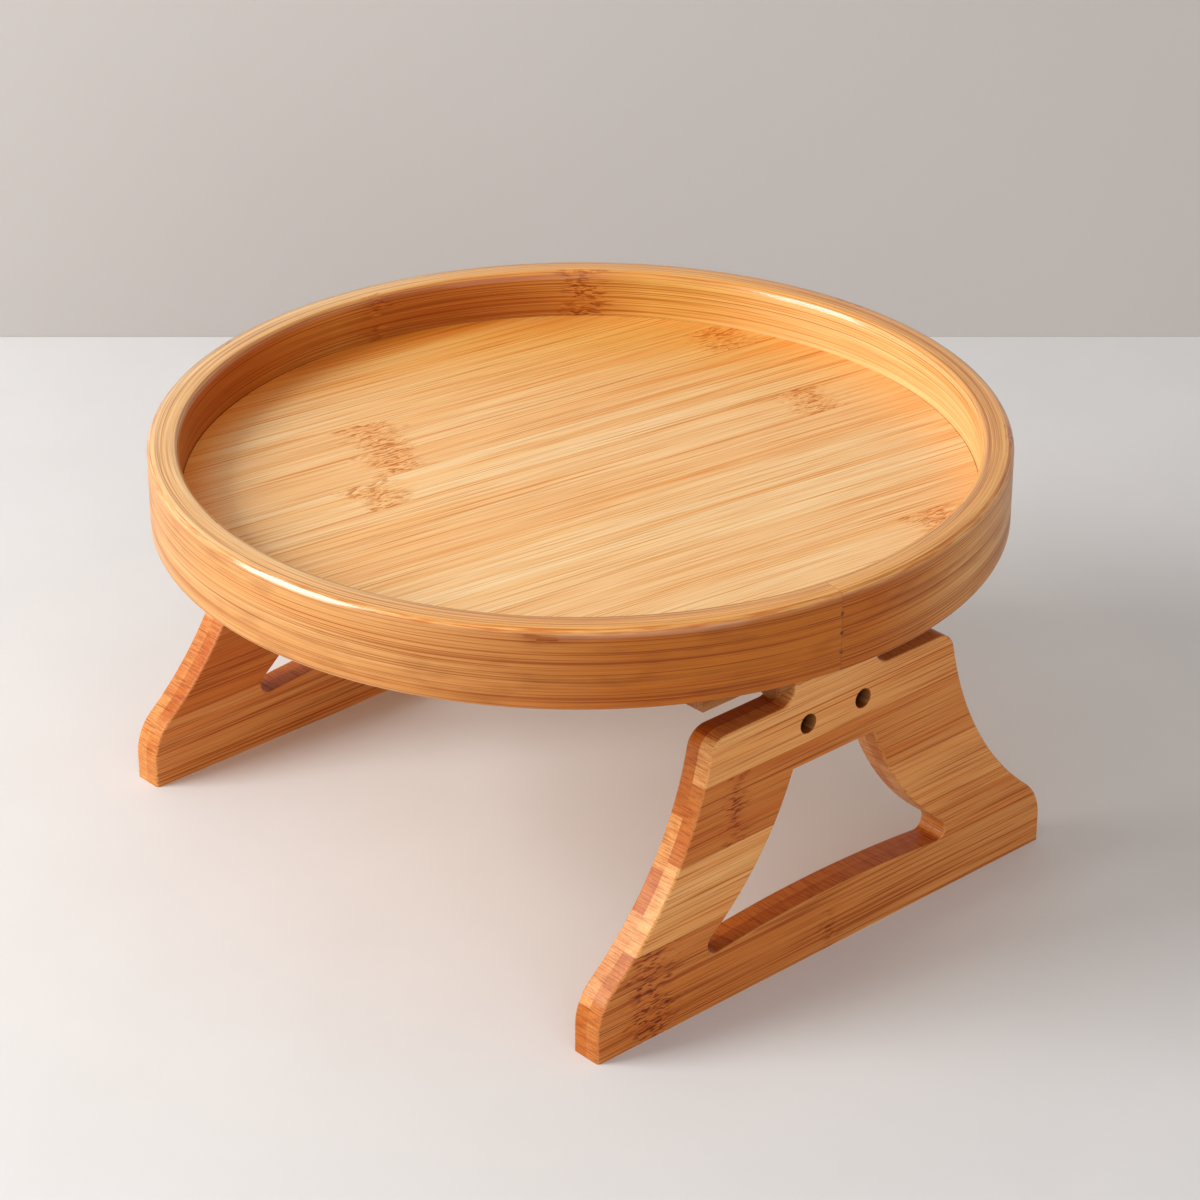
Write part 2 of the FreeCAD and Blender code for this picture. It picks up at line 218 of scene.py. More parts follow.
def strip_joint(tree, across, width, offset, line):
    """Number of the strip, and a mask of the glue line at its edge."""
    moved = put(tree, "ShaderNodeMath", {0: across, 1: offset}, operation="ADD")
    strips = put(tree, "ShaderNodeMath", {0: moved, 1: width}, operation="DIVIDE")
    number = put(tree, "ShaderNodeMath", {0: strips}, operation="FLOOR")
    gap = put(tree, "ShaderNodeMath", {0: moved, 1: width}, operation="FLOORED_MODULO")
    gap = put(tree, "ShaderNodeMath", {0: gap, 1: width / 2}, operation="SUBTRACT")
    gap = put(tree, "ShaderNodeMath", {0: gap}, operation="ABSOLUTE")
    joint = put(tree, "ShaderNodeMapRange", {
        "Value": gap, "From Min": width / 2 - line, "From Max": width / 2,
    })
    return number, joint


def strip_chance(tree, first, second):
    """A jump along the grain for each strip, so that fibres break at its edges, and a chance value."""
    seed = put(tree, "ShaderNodeCombineXYZ", {0: first, 1: second})
    noise = put(tree, "ShaderNodeTexWhiteNoise", {"Vector": seed}, output="Color")
    jump = put(tree, "ShaderNodeVectorMath", {0: noise, "Scale": fibre_jump}, operation="SCALE")
    return jump, noise.node.outputs["Value"]


def bamboo_look(
    tree, shader, grain, jump, tone, knuckle_gap, glue, colours, stains=(),
    end_share=0.0, swirl_depth=1.8, fibre_length=80.0, fibre_width=0.75,
):
    """Colour, gloss and relief of bamboo: strips, fibres, knuckles, glue lines and stains over them.

    grain runs along, across and through the strips in millimetres.
    """
    # A knuckle is a ragged band across one strip where the fibres swirl and break up.
    ragged = stretched_noise(tree, grain, tuft_length, tuft_width)
    ragged = put(tree, "ShaderNodeMapRange", {
        "Value": ragged, "To Min": -tuft_reach, "To Max": tuft_reach,
    })
    knuckle_gap = put(tree, "ShaderNodeMath", {0: knuckle_gap, 1: ragged}, operation="ADD")
    knuckle = put(tree, "ShaderNodeMapRange", {
        "Value": knuckle_gap, "From Min": knuckle_core, "From Max": knuckle_edge,
        "To Min": 1.0, "To Max": 0.0,
    }, interpolation_type="SMOOTHSTEP")
    face_share = put(tree, "ShaderNodeMapRange", {"Value": end_share, "To Min": 1.0, "To Max": 0.25})
    knuckle = put(tree, "ShaderNodeMath", {0: knuckle, 1: face_share}, operation="MULTIPLY")
    swirl = put(tree, "ShaderNodeTexNoise", {
        "Vector": grain, "Scale": swirls_per_mm, "Detail": 1.0,
    }, output="Color")
    swirl = put(tree, "ShaderNodeVectorMath", {0: swirl, 1: (0.5, 0.5, 0.5)}, operation="SUBTRACT")
    swirl_reach = put(tree, "ShaderNodeMath", {0: knuckle, 1: 2 * swirl_depth}, operation="MULTIPLY")
    swirl = put(tree, "ShaderNodeVectorMath", {0: swirl, "Scale": swirl_reach}, operation="SCALE")
    fibres_at = put(tree, "ShaderNodeVectorMath", {0: grain, 1: jump}, operation="ADD")
    fibres_at = put(tree, "ShaderNodeVectorMath", {0: fibres_at, 1: swirl}, operation="ADD")

    # Fibre bundles are long thin dashes; broad bands are the slow change of tone in a strip.
    fine = stretched_noise(tree, fibres_at, fibre_length, fibre_width, roughness=0.55)
    hair = stretched_noise(tree, fibres_at, hair_length, hair_width, detail=1.0)
    broad = stretched_noise(tree, fibres_at, band_length, band_width)
    broken = stretched_noise(tree, fibres_at, dash_length, dash_width, detail=1.0)
    streak = put(tree, "ShaderNodeMapRange", {
        "Value": fine, "From Min": 0.5, "From Max": 0.66,
    }, interpolation_type="SMOOTHSTEP")
    streak = put(tree, "ShaderNodeMath", {0: streak, 1: face_share}, operation="MULTIPLY")
    hair_share = put(tree, "ShaderNodeMapRange", {
        "Value": hair, "From Min": 0.4, "From Max": 0.7, "To Max": 0.55,
    })
    hair_share = put(tree, "ShaderNodeMath", {0: hair_share, 1: face_share}, operation="MULTIPLY")
    band = put(tree, "ShaderNodeMapRange", {"Value": broad, "From Min": 0.38, "From Max": 0.7})
    dash = put(tree, "ShaderNodeMapRange", {
        "Value": broken, "From Min": 0.5, "From Max": 0.62,
    }, interpolation_type="SMOOTHSTEP")
    dash = put(tree, "ShaderNodeMath", {0: dash, 1: knuckle}, operation="MULTIPLY")
    bruise_share = 0.6
    bruise = put(tree, "ShaderNodeMath", {0: knuckle, 1: bruise_share}, operation="MULTIPLY")

    colour = put(tree, "ShaderNodeMix", {
        mix_share: tone, mix_first: linear(colours["pale"]), mix_second: linear(colours["dark"]),
    }, mix_result, data_type="RGBA")
    for share, tint in (
        (band, colours["band"]),
        (streak, colours["streak"]),
        (hair_share, colours["streak"]),
        (bruise, colours["band"]),
        (dash, colours["knuckle"]),
        (glue, colours["glue"]),
        *stains,
    ):
        colour = put(tree, "ShaderNodeMix", {
            mix_share: share, mix_first: colour, mix_second: linear(tint),
        }, mix_result, data_type="RGBA", blend_type="MULTIPLY")

    gloss = put(tree, "ShaderNodeMapRange", {"Value": fine, "To Min": 0.30, "To Max": 0.50})
    relief = put(tree, "ShaderNodeMath", {0: streak, 1: dash}, operation="ADD")
    relief = put(tree, "ShaderNodeMath", {0: relief, 1: glue}, operation="ADD")
    bump = put(tree, "ShaderNodeBump", {
        "Height": relief, "Strength": 0.4, "Distance": pore_depth * mm,
    }, invert=True)
    tree.links.new(gloss, shader.inputs["Roughness"])
    tree.links.new(bump, shader.inputs["Normal"])
    shader.inputs["IOR"].default_value = 1.5
    shader.inputs["Specular IOR Level"].default_value = 0.15
    shader.inputs["Coat Weight"].default_value = 0.1
    shader.inputs["Coat Roughness"].default_value = 0.16
    return colour


def floor_bamboo():
    """Edge-glued pale bamboo strips under clear lacquer: honey tone, long fibre dashes."""
    grain_turn = 8.0
    strip_width = 21.0
    strip_offset = 36.0
    glue_share = 0.5
    # Places of the knuckles along and across the grain.
    knuckle_places = (
        (-43.0, -65.0), (-49.0, -42.0), (-67.0, -20.5), (81.0, 91.0), (108.0, -77.0), (103.0, -10.0),
    )
    # Directions along and across the grain, for someone who faces the tray from its front.
    to_rear = (0.56, -0.83, 0.0)
    to_left = (-0.827, -0.561, 0.0)
    glow_start = 30.0
    glow_full = 135.0
    corner_start = 118.0
    corner_full = 138.0
    left_start = -20.0
    left_full = 70.0

    material, tree, shader = new_material("lacquered_bamboo_strip_panel")
    across, along, through = object_place(tree, grain_turn)
    number, joint = strip_joint(tree, across, strip_width, strip_offset, glue_line)
    ply = put(tree, "ShaderNodeMath", {0: through, 1: floor_middle}, operation="GREATER_THAN")
    jump, tone = strip_chance(tree, number, ply)
    knuckles = []
    for knuckle_along, knuckle_across in knuckle_places:
        strip = math.floor((knuckle_across + strip_offset) / strip_width)
        inside = put(tree, "ShaderNodeMath", {0: number, 1: strip, 2: 0.5}, operation="COMPARE")
        knuckles.append((knuckle_along, inside, 0.0))
    grain = put(tree, "ShaderNodeCombineXYZ", {0: along, 1: across, 2: through})
    glue = put(tree, "ShaderNodeMath", {0: joint, 1: glue_share}, operation="MULTIPLY")
    # Painted warm light: the panel is tinted more golden towards its rear edge.
    rear = put(tree, "ShaderNodeVectorMath", {
        0: grain, 1: to_rear,
    }, output="Value", operation="DOT_PRODUCT")
    painted_rear_glow = put(tree, "ShaderNodeMapRange", {
        "Value": rear, "From Min": glow_start, "From Max": glow_full, "To Max": 0.9,
    }, interpolation_type="SMOOTHSTEP")
    # Painted shade: the floor is tinted warmer and darker along the rim, most of all on the left, where
    # the rim's shadow falls.
    flat = put(tree, "ShaderNodeCombineXYZ", {0: along, 1: across})
    radius = put(tree, "ShaderNodeVectorMath", {0: flat}, output="Value", operation="LENGTH")
    corner = put(tree, "ShaderNodeMapRange", {
        "Value": radius, "From Min": corner_start, "From Max": corner_full,
    }, interpolation_type="SMOOTHSTEP")
    left = put(tree, "ShaderNodeVectorMath", {
        0: flat, 1: to_left,
    }, output="Value", operation="DOT_PRODUCT")
    left = put(tree, "ShaderNodeMapRange", {
        "Value": left, "From Min": left_start, "From Max": left_full,
    }, interpolation_type="SMOOTHSTEP")
    corner = put(tree, "ShaderNodeMath", {0: corner, 1: left}, operation="MULTIPLY")
    colour = bamboo_look(
        tree, shader, grain, jump, tone, nearest_knuckle(tree, along, knuckles), glue,
        {"pale": "#ffe0ae", "dark": "#fccc90", "band": "#fcead0", "streak": "#e8c492",
         "knuckle": "#d8ae80", "glue": "#d8ac7c"},
        # Both stains are painted light and shade: a golden glow to the rear and a warm shade along the
        # rim.
        stains=((painted_rear_glow, "#f6dc92"), (corner, "#fccc8c")),
        fibre_width=0.62,
    )
    tree.links.new(colour, shader.inputs["Base Color"])
    return material


def hoop_bamboo():
    """Thin bamboo layers bent into a hoop and lacquered: fibres run round, layers show on top."""
    # Turned so that the angle's jump falls on the hoop's own seam.
    seam_turn = 180.0 - seam_angle
    layer = 1.5
    layer_offset = 1.25
    layer_seed = 5.0
    layer_share = 0.38
    chance_share = 0.15
    waver_length = 24.0
    waver_width = 7.0
    waver_reach = 0.6
    # Angle, radius and faintness of the knuckles on the innermost and the outermost layer.
    inner_layer = 139.5
    outer_layer = 148.5
    knuckle_places = (
        (137.4, inner_layer, 1.0), (171.0, inner_layer, 6.0), (20.0, inner_layer, 2.0),
        (-100.0, inner_layer, 2.0), (45.0, outer_layer, 2.0), (95.0, outer_layer, 1.0),
        (200.0, outer_layer, 2.0),
    )
    # Directions across the turned hoop, for someone who faces the tray from its front.
    to_left = (0.561, 0.827, 0.0)
    to_left_rear = (0.944, -0.328, 0.0)
    inner_pale = -80.0
    inner_dark = 125.0
    front_pale = 30.0
    front_dark = 125.0
    rear_start = 125.0
    rear_full = 139.0
    # Angles from the seam, in radians, over which the outer layer's ends darken.
    first_end_start = 1.3
    first_end_full = 0.3
    last_end_reach = 0.6
    sanded_start = 150.8
    sanded_full = 152.6
    inner_wall_share = 0.2
    shade_tint_share = 0.9
    bounce_start = -100.0
    bounce_full = -30.0
    golden_full = 0.0
    golden_end = 110.0
    # How far short of the square corner the outer top edge starts.
    edge_start = 2.2
    edge_full = 1.4
    broken_length = 14.0
    broken_width = 0.7
    lacquer_start = 149.5
    lacquer_full = 151.5
    lacquer_round = 4.0
    least_rise = 0.01

    material, tree, shader = new_material("bent_laminated_bamboo_hoop")
    x, y, height = object_place(tree, seam_turn)
    angle = put(tree, "ShaderNodeMath", {0: y, 1: x}, operation="ARCTAN2")
    along = put(tree, "ShaderNodeMath", {0: angle, 1: hoop_mean_radius}, operation="MULTIPLY")
    flat = put(tree, "ShaderNodeCombineXYZ", {0: x, 1: y})
    radius = put(tree, "ShaderNodeVectorMath", {0: flat}, output="Value", operation="LENGTH")
    grain = put(tree, "ShaderNodeCombineXYZ", {0: along, 1: height, 2: radius})
    # The layers' edges waver a little, as sanded laminations do.
    waver = stretched_noise(tree, grain, waver_length, waver_width)
    waver = put(tree, "ShaderNodeMapRange", {
        "Value": waver, "To Min": -waver_reach, "To Max": waver_reach,
    })
    wavering = put(tree, "ShaderNodeMath", {0: radius, 1: waver}, operation="ADD")
    number, joint = strip_joint(tree, wavering, layer, layer_offset, hoop_glue_line)
    jump, chance = strip_chance(tree, number, layer_seed)
    # Painted shade: the inner strip's tone darkens towards the left and rear, where the inner wall faces
    # away from the lamp. The outer strip's tone drifts along its length, darkest where its ends meet.
    inner_shade_tone = put(tree, "ShaderNodeMapRange", {
        "Value": y, "From Min": inner_pale, "From Max": inner_dark, "To Max": 0.95,
    }, interpolation_type="SMOOTHSTEP")
    from_front = put(tree, "ShaderNodeMapRange", {
        "Value": x, "From Min": front_pale, "From Max": front_dark, "To Min": 0.35, "To Max": 1.0,
    })
    inner_shade_tone = put(tree, "ShaderNodeMath", {0: inner_shade_tone, 1: from_front}, operation="MULTIPLY")
    # The inner strip is browner again at the rear, left of its knuckle.
    rear = put(tree, "ShaderNodeVectorMath", {
        0: flat, 1: to_left_rear,
    }, output="Value", operation="DOT_PRODUCT")
    rear_tone = put(tree, "ShaderNodeMapRange", {
        "Value": rear, "From Min": rear_start, "From Max": rear_full, "To Max": 0.48,
    })
    inner_shade_tone = put(tree, "ShaderNodeMath", {0: inner_shade_tone, 1: rear_tone}, operation="ADD")
    first_end = put(tree, "ShaderNodeMapRange", {
        "Value": angle, "From Min": math.pi - first_end_start, "From Max": math.pi - first_end_full,
        "To Min": 0.5, "To Max": 1.0,
    }, interpolation_type="SMOOTHSTEP")
    last_end = put(tree, "ShaderNodeMapRange", {
        "Value": angle, "From Min": -math.pi, "From Max": last_end_reach - math.pi,
        "To Min": 1.0, "To Max": 0.38,
    }, interpolation_type="SMOOTHSTEP")
    outer_tone = put(tree, "ShaderNodeMath", {0: first_end, 1: last_end}, operation="MAXIMUM")
    outward = put(tree, "ShaderNodeMapRange", {
        "Value": radius, "From Min": hoop_bore, "From Max": tray_radius,
    })
    tone = put(tree, "ShaderNodeMix", {
        mix_share: outward, number_first: inner_shade_tone, number_second: outer_tone,
    })
    chance = put(tree, "ShaderNodeMath", {0: chance, 1: chance_share}, operation="MULTIPLY")
    tone = put(tree, "ShaderNodeMath", {0: tone, 1: chance}, operation="ADD")
    # Sanding the rounded top brings out paler bamboo.
    side_share = put(tree, "ShaderNodeMapRange", {
        "Value": height, "From Min": sanded_start, "From Max": sanded_full, "To Min": 1.0, "To Max": 0.0,
    }, interpolation_type="SMOOTHSTEP")
    tone = put(tree, "ShaderNodeMath", {0: tone, 1: side_share}, operation="MULTIPLY")
    top_share = put(tree, "ShaderNodeMath", {0: 1.0, 1: side_share}, operation="SUBTRACT")
    knuckles = []
    for knuckle_angle, knuckle_radius, faintness in knuckle_places:
        turned = (knuckle_angle + seam_turn + 180.0) % 360.0 - 180.0
        inside = put(tree, "ShaderNodeMath", {0: radius, 1: knuckle_radius, 2: layer}, operation="COMPARE")
        knuckles.append((math.radians(turned) * hoop_mean_radius, inside, faintness))
    from_seam = put(tree, "ShaderNodeMath", {0: angle}, operation="ABSOLUTE")
    seam = put(tree, "ShaderNodeMapRange", {
        "Value": from_seam, "From Min": math.pi - seam_line / hoop_mean_radius, "From Max": math.pi,
        "To Max": 0.45,
    })
    joint = put(tree, "ShaderNodeMath", {0: joint, 1: layer_share}, operation="MULTIPLY")
    glue = put(tree, "ShaderNodeMath", {0: joint, 1: seam}, operation="MAXIMUM")
    # Painted shade: where the inner wall's painted shade is darkest, it is also tinted a deeper orange.
    inner_wall = put(tree, "ShaderNodeMapRange", {
        "Value": outward, "From Max": inner_wall_share, "To Min": 1.0, "To Max": 0.0,
    })
    deep = put(tree, "ShaderNodeMath", {0: inner_wall, 1: shade_tint_share}, operation="MULTIPLY")
    deep = put(tree, "ShaderNodeMath", {0: deep, 1: inner_shade_tone}, operation="MULTIPLY")
    # Painted bounce light: the inner wall to the left and the rear, which lies in shade, is tinted golden,
    # more than on the right.
    left = put(tree, "ShaderNodeVectorMath", {
        0: flat, 1: to_left,
    }, output="Value", operation="DOT_PRODUCT")
    painted_bounce = put(tree, "ShaderNodeMapRange", {
        "Value": left, "From Min": bounce_start, "From Max": bounce_full,
    }, interpolation_type="SMOOTHSTEP")
    painted_bounce = put(tree, "ShaderNodeMath", {0: painted_bounce, 1: inner_wall}, operation="MULTIPLY")
    # The sanded top is more golden away from the left.
    golden = put(tree, "ShaderNodeMapRange", {
        "Value": left, "From Min": golden_full, "From Max": golden_end, "To Min": 1.0, "To Max": 0.0,
    }, interpolation_type="SMOOTHSTEP")
    golden = put(tree, "ShaderNodeMath", {0: golden, 1: top_share}, operation="MULTIPLY")
    # Along the outer top edge the lacquer lies golden over broken fibre ends.
    square_corner = tray_radius + hoop_top
    to_corner = put(tree, "ShaderNodeMath", {0: radius, 1: height}, operation="ADD")
    edge = put(tree, "ShaderNodeMapRange", {
        "Value": to_corner, "From Min": square_corner - edge_start, "From Max": square_corner - edge_full,
    }, interpolation_type="SMOOTHSTEP")
    broken = stretched_noise(tree, grain, broken_length, broken_width, roughness=0.6)
    broken = put(tree, "ShaderNodeMapRange", {
        "Value": broken, "From Min": 0.42, "From Max": 0.62, "To Min": 0.1,
    })
    edge = put(tree, "ShaderNodeMath", {0: edge, 1: broken}, operation="MULTIPLY")
    colour = bamboo_look(
        tree, shader, grain, jump, tone, nearest_knuckle(tree, along, knuckles), glue,
        {"pale": "#fcd08e", "dark": "#bc6c1e", "band": "#f8e6d0", "streak": "#d2b48c",
         "knuckle": "#d0b08c", "glue": "#b08856"},
        stains=(
            # The first two stains are painted shade and painted bounce light on the inner wall.
            (deep, "#f4b05c"), (painted_bounce, "#ede4b8"), (golden, "#fce4b8"), (edge, "#e4b474"),
        ),
        swirl_depth=1.0, fibre_length=220.0, fibre_width=0.62,
    )
    tree.links.new(colour, shader.inputs["Base Color"])
    # The lacquer lies thickest on the rounded top, which takes the brightest glint.
    lacquer = put(tree, "ShaderNodeMapRange", {
        "Value": height, "From Min": lacquer_start, "From Max": lacquer_full, "To Min": 0.1, "To Max": 1.0,
    })
    tree.links.new(lacquer, shader.inputs["Coat Weight"])
    # It flows round both top edges, so its surface is rounder there than the wood's own corner.
    place = put(tree, "ShaderNodeTexCoord", output="Object")
    spoke = put(tree, "ShaderNodeVectorMath", {0: place, 1: (1.0, 1.0, 0.0)}, operation="MULTIPLY")
    spoke = put(tree, "ShaderNodeVectorMath", {0: spoke}, operation="NORMALIZE")
    level_part = put(tree, "ShaderNodeClamp", {
        "Value": radius, "Min": hoop_bore + lacquer_round, "Max": tray_radius - lacquer_round,
    })
    lean = put(tree, "ShaderNodeMath", {0: radius, 1: level_part}, operation="SUBTRACT")
    spoke = put(tree, "ShaderNodeVectorMath", {0: spoke, "Scale": lean}, operation="SCALE")
    round_start = hoop_top - lacquer_round
    rise = put(tree, "ShaderNodeMath", {0: height, 1: round_start}, operation="SUBTRACT")
    # A hair of rise keeps the direction whole under the hoop, where it would else have no length.
    rise = put(tree, "ShaderNodeMath", {0: rise, 1: least_rise}, operation="MAXIMUM")
    upright = put(tree, "ShaderNodeCombineXYZ", {2: rise})
    flow = put(tree, "ShaderNodeVectorMath", {0: spoke, 1: upright}, operation="ADD")
    flow = put(tree, "ShaderNodeVectorTransform", {
        0: flow,
    }, vector_type="NORMAL", convert_from="OBJECT", convert_to="WORLD")
    wood = put(tree, "ShaderNodeNewGeometry", output="Normal")
    on_top = put(tree, "ShaderNodeMath", {0: height, 1: round_start}, operation="GREATER_THAN")
    flow = put(tree, "ShaderNodeMix", {
        mix_share: on_top, way_first: wood, way_second: flow,
    }, way_result, data_type="VECTOR")
    tree.links.new(flow, shader.inputs["Coat Normal"])
    shader.inputs["Coat IOR"].default_value = 1.6
    shader.inputs["Coat Roughness"].default_value = 0.15
    return material


def leg_bamboo(side, outer_strips, inner_strips, marks):
    """Two-ply carbonised bamboo board, sawn, rounded and lacquered: brown strips, bright arris.

    A strip has its lowest height and its tone, and a mark its place along the leg, its lowest and
    highest height and its faintness, for a knuckle on the outer face.
    """
    rear_start = -20.0
    rear_full = 55.0
    rear_tone = (0.55, 0.55, 0.55, 1.0)
    saw_length = 9.0
    saw_width = 0.5
    # Distances from the middle of the board's thickness.
    arris_start = 5.0
    arris_full = 5.5
    face_start = 5.8
    face_full = 5.98
    hole_margin = 0.1
    hole_deep = 122.0
    hole_mouth = 126.2

    material, tree, shader = new_material("two_ply_carbonised_bamboo_" + side)
    x, along, height = object_place(tree)
    out = put(tree, "ShaderNodeMath", {0: x}, operation="ABSOLUTE")
    outer = put(tree, "ShaderNodeMath", {0: out, 1: leg_middle}, operation="GREATER_THAN")
    place = put(tree, "ShaderNodeMath", {0: height, 1: leg_height}, operation="DIVIDE")
    tones = []
    for strips in (inner_strips, outer_strips):
        stops = [(start / leg_height, grey) for start, grey in strips]
        ramp = put(tree, "ShaderNodeValToRGB", {0: place}, stops=stops)
        ramp.node.color_ramp.interpolation = "CONSTANT"
        tones.append(ramp)
    tone = put(tree, "ShaderNodeMix", {
        mix_share: outer, mix_first: tones[0], mix_second: tones[1],
    }, mix_result, data_type="RGBA")
    jump = strip_chance(tree, tone, outer)[0]
    # The strips are less unlike at the rear end of the board.
    rear_share = put(tree, "ShaderNodeMapRange", {
        "Value": along, "From Min": rear_start, "From Max": rear_full, "To Max": 0.6,
    }, interpolation_type="SMOOTHSTEP")
    tone = put(tree, "ShaderNodeMix", {
        mix_share: rear_share, mix_first: tone, mix_second: rear_tone,
    }, mix_result, data_type="RGBA")
    knuckles = []
    for knuckle_along, low, high, faintness in marks:
        inside = put(tree, "ShaderNodeMath", {
            0: height, 1: (low + high) / 2, 2: (high - low) / 2,
        }, operation="COMPARE")
        inside = put(tree, "ShaderNodeMath", {0: inside, 1: outer}, operation="MULTIPLY")
        knuckles.append((knuckle_along, inside, faintness))
    grain = put(tree, "ShaderNodeCombineXYZ", {0: along, 1: height, 2: x})
    from_middle = put(tree, "ShaderNodeMath", {0: out, 1: leg_middle}, operation="SUBTRACT")
    from_middle = put(tree, "ShaderNodeMath", {0: from_middle}, operation="ABSOLUTE")
    glue = put(tree, "ShaderNodeMapRange", {
        "Value": from_middle, "From Min": 0.0, "From Max": glue_line, "To Min": 0.15, "To Max": 0.0,
    })
    # Sawn edges cut across the fibres, so they show fine saw lines more than streaks.
    normal = put(tree, "ShaderNodeTexCoord", output="Normal")
    facing = put(tree, "ShaderNodeSeparateXYZ", {0: normal}).node.outputs
    sideways = put(tree, "ShaderNodeMath", {0: facing[0]}, operation="ABSOLUTE")
    end_share = put(tree, "ShaderNodeMapRange", {
        "Value": sideways, "From Min": 0.4, "From Max": 0.8, "To Min": 1.0, "To Max": 0.0,
    })
    across_edge = put(tree, "ShaderNodeCombineXYZ", {0: x, 1: height, 2: along})
    saw = stretched_noise(tree, across_edge, saw_length, saw_width, roughness=0.6)
    saw = put(tree, "ShaderNodeMapRange", {
        "Value": saw, "From Min": 0.45, "From Max": 0.65, "To Min": 0.1,
    })
    saw = put(tree, "ShaderNodeMath", {0: saw, 1: end_share}, operation="MULTIPLY")
    # The edges that lie level, shoulders, notches and the window's sill, are darker: partly stained end
    # grain, partly painted shade where these recesses lie in shadow.
    level = put(tree, "ShaderNodeMapRange", {
        "Value": facing[2], "From Min": 0.7, "From Max": 0.95, "To Max": 0.8,
    }, interpolation_type="SMOOTHSTEP")
    colour = bamboo_look(
        tree, shader, grain, jump, tone, nearest_knuckle(tree, along, knuckles), glue,
        {"pale": "#f6bb76", "dark": "#c67024", "band": "#f8e2c6", "streak": "#d2b28c",
         "knuckle": "#ae8a66", "glue": "#a87450"},
        stains=((saw, "#d0b090"), (level, "#c89862")),
        end_share=end_share, swirl_depth=0.9,
    )
    # The rounded arris is lighter than the faces: partly sanded through the stain, partly a painted
    # highlight where the rounding catches the light.
    arris = put(tree, "ShaderNodeMapRange", {
        "Value": from_middle, "From Min": arris_start, "From Max": arris_full,
    }, interpolation_type="SMOOTHSTEP")
    face = put(tree, "ShaderNodeMapRange", {
        "Value": from_middle, "From Min": face_start, "From Max": face_full, "To Min": 0.12, "To Max": 0.0,
    })
    worn_and_glint = put(tree, "ShaderNodeMath", {0: arris, 1: face}, operation="MULTIPLY")
    colour = put(tree, "ShaderNodeMix", {
        mix_share: worn_and_glint, mix_first: colour, mix_second: linear("#eab878"),
    }, mix_result, data_type="RGBA")
    # Painted shade: the drilled anchor holes are darkened inside, most of all towards their bottom, where
    # little light reaches.
    hole_y = put(tree, "ShaderNodeMath", {0: along}, operation="ABSOLUTE")
    hole_at = put(tree, "ShaderNodeCombineXYZ", {0: hole_y, 1: height})
    hole_gap = put(tree, "ShaderNodeVectorMath", {
        0: hole_at, 1: (anchor_offset, hook_height, 0.0),
    }, output="Value", operation="DISTANCE")
    hole_radius = anchor_radius + hole_margin
    hole = put(tree, "ShaderNodeMath", {0: hole_gap, 1: hole_radius}, operation="LESS_THAN")
    hole_shade_share = put(tree, "ShaderNodeMapRange", {
        "Value": out, "From Min": hole_deep, "From Max": hole_mouth, "To Min": 0.97, "To Max": 0.4,
    })
    hole = put(tree, "ShaderNodeMath", {0: hole, 1: hole_shade_share}, operation="MULTIPLY")
    colour = put(tree, "ShaderNodeMix", {
        mix_share: hole, mix_first: colour, mix_second: linear("#40281a"),
    }, mix_result, data_type="RGBA", blend_type="MULTIPLY")
    tree.links.new(colour, shader.inputs["Base Color"])
    return material


def hinge_bamboo():
    """Plain sawn bamboo of the boards and knuckles under the tray: brown, thinly lacquered, its browns
    darkened partly as painted shade for the shadow under the tray.
    """
    strip_width = 15.0
    strip_offset = 4.0
    strip_seed = 9.0
    glue_share = 0.4
    knuckle_along = -38.0
    every_strip = 1.0

    material, tree, shader = new_material("sawn_carbonised_bamboo")
    across, along, through = object_place(tree)
    number, joint = strip_joint(tree, across, strip_width, strip_offset, board_glue_line)
    jump, tone = strip_chance(tree, number, strip_seed)
    grain = put(tree, "ShaderNodeCombineXYZ", {0: along, 1: across, 2: through})
    glue = put(tree, "ShaderNodeMath", {0: joint, 1: glue_share}, operation="MULTIPLY")
    knuckle_gap = nearest_knuckle(tree, along, ((knuckle_along, every_strip, 0.0),))
    colour = bamboo_look(
        tree, shader, grain, jump, tone, knuckle_gap, glue,
        # Both browns are partly painted shade: darker than the wood's own, for parts in shadow under the
        # tray.
        {"pale": "#b07840", "dark": "#8e5a2e", "band": "#f0d4b0", "streak": "#d8b894",
         "knuckle": "#c09874", "glue": "#a87450"},
    )
    tree.links.new(colour, shader.inputs["Base Color"])
    return material


def steel(name, bright, dull, roughness):
    """Plated or oiled steel: a metal whose tone and gloss drift in small patches."""
    patch_size = 1.6
    scratch_size = 0.25
    scratch_depth = 0.02
    gloss_drift = 0.3

    material, tree, shader = new_material(name)
    place = put(tree, "ShaderNodeTexCoord", output="Object")
    patches = put(tree, "ShaderNodeTexNoise", {
        "Vector": place, "Scale": per_metre / patch_size, "Detail": 3.0,
    })
    colour = put(tree, "ShaderNodeMix", {
        mix_share: patches, mix_first: linear(bright), mix_second: linear(dull),
    }, mix_result, data_type="RGBA")
    gloss = put(tree, "ShaderNodeMapRange", {
        "Value": patches, "To Min": roughness * (1 - gloss_drift), "To Max": roughness * (1 + gloss_drift),
    })
    scratches = put(tree, "ShaderNodeTexNoise", {
        "Vector": place, "Scale": per_metre / scratch_size, "Detail": 1.0,
    })
    bump = put(tree, "ShaderNodeBump", {
        "Height": scratches, "Strength": 0.15, "Distance": scratch_depth * mm,
    })
    tree.links.new(colour, shader.inputs["Base Color"])
    tree.links.new(gloss, shader.inputs["Roughness"])
    tree.links.new(bump, shader.inputs["Normal"])
    shader.inputs["Metallic"].default_value = 1.0
    return material


